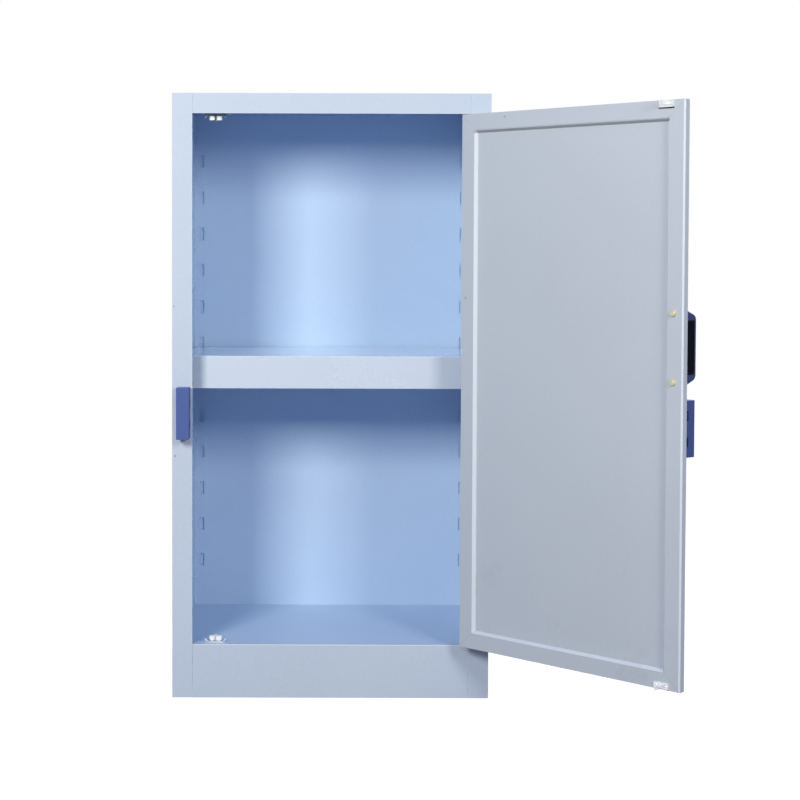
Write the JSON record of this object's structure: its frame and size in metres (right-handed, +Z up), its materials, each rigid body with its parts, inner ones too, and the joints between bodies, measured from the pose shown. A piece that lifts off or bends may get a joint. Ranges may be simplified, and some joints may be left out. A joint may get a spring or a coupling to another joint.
{
  "type": "reagent storage cabinet",
  "caption": "Upright welded plastic storage cabinet for reagent bottles, with an inset hinged door, a bow handle, hasp blocks for padlocks, roller catches and an adjustable shelf.",
  "frame": {"origin": "on the ground under the middle of the carcass", "axes": "+Z up, -Y towards the door side, +X towards the hinge side"},
  "size_m": [0.7214, 0.6606, 0.9],
  "materials": {
    "carcass": "smooth welded sheet, pale grey",
    "shelf": "smooth sheet, pale grey",
    "door": "smooth sheet, pale grey",
    "blue_fittings": "moulded, deep blue",
    "steel": "bright stainless",
    "roller": "moulded, white",
    "cap": "moulded, cream"
  },
  "bodies": {
    "cabinet": {"left_side_panel": "carcass", "right_side_panel": "carcass", "back_panel": "carcass", "top_panel": "carcass", "floor_panel": "carcass", "left_stile": "carcass", "right_stile": "carcass", "top_rail": "carcass", "plinth_board": "carcass", "plinth_cross_rib": "carcass", "catch_mount_block": "carcass", "left_shelf_arm": "shelf", "right_shelf_arm": "shelf", "stile_hasp_block": "blue_fittings", "upper_hinge_stile_leaf": "blue_fittings", "middle_hinge_stile_leaf": "blue_fittings", "lower_hinge_stile_leaf": "blue_fittings", "hinge_stile_screws": "steel", "upper_hinge_pin": "steel", "middle_hinge_pin": "steel", "lower_hinge_pin": "steel", "upper_catch_base": "steel", "lower_catch_base": "steel", "upper_catch_pins": "steel", "lower_catch_pins": "steel", "upper_catch_screws": "steel", "lower_catch_screws": "steel"},
    "door": {"door_outer_panel": "door", "door_border_hinge_side": "door", "door_border_free_side": "door", "door_border_top": "door", "door_border_bottom": "door", "door_hasp_block": "blue_fittings", "door_handle": "blue_fittings", "upper_hinge_door_leaf": "blue_fittings", "middle_hinge_door_leaf": "blue_fittings", "lower_hinge_door_leaf": "blue_fittings", "hinge_door_screws": "steel", "upper_strike": "steel", "lower_strike": "steel", "strike_screws": "steel", "handle_bolts": "steel", "handle_bolt_caps": "cap"},
    "shelf": {"shelf_panel": "shelf", "shelf_front_fascia": "shelf"},
    "upper_left_roller": {"upper_catch_left_roller": "roller"},
    "upper_right_roller": {"upper_catch_right_roller": "roller"},
    "lower_left_roller": {"lower_catch_left_roller": "roller"},
    "lower_right_roller": {"lower_catch_right_roller": "roller"}
  },
  "joints": [
    {"name": "door_hinge", "type": "hinge", "parent": "cabinet", "child": "door", "pos_m": [0.20425, -0.179, 0.4755], "axis": [0, 0, 1], "range_deg": [-132.3, 42.7]},
    {"name": "shelf_lift", "type": "slide", "parent": "cabinet", "child": "shelf", "axis": [0, 0, 1], "range_m": [0, 0.05]},
    {"name": "upper_left_roller_spin", "type": "hinge", "parent": "cabinet", "child": "upper_left_roller", "pos_m": [-0.17785, -0.146, 0.8641], "axis": [0, 0, 1], "continuous": true},
    {"name": "upper_right_roller_spin", "type": "hinge", "parent": "cabinet", "child": "upper_right_roller", "pos_m": [-0.16715, -0.146, 0.8641], "axis": [0, 0, 1], "continuous": true},
    {"name": "lower_left_roller_spin", "type": "hinge", "parent": "cabinet", "child": "lower_left_roller", "pos_m": [-0.17785, -0.146, 0.0859], "axis": [0, 0, 1], "continuous": true},
    {"name": "lower_right_roller_spin", "type": "hinge", "parent": "cabinet", "child": "lower_right_roller", "pos_m": [-0.16715, -0.146, 0.0859], "axis": [0, 0, 1], "continuous": true}
  ]
}
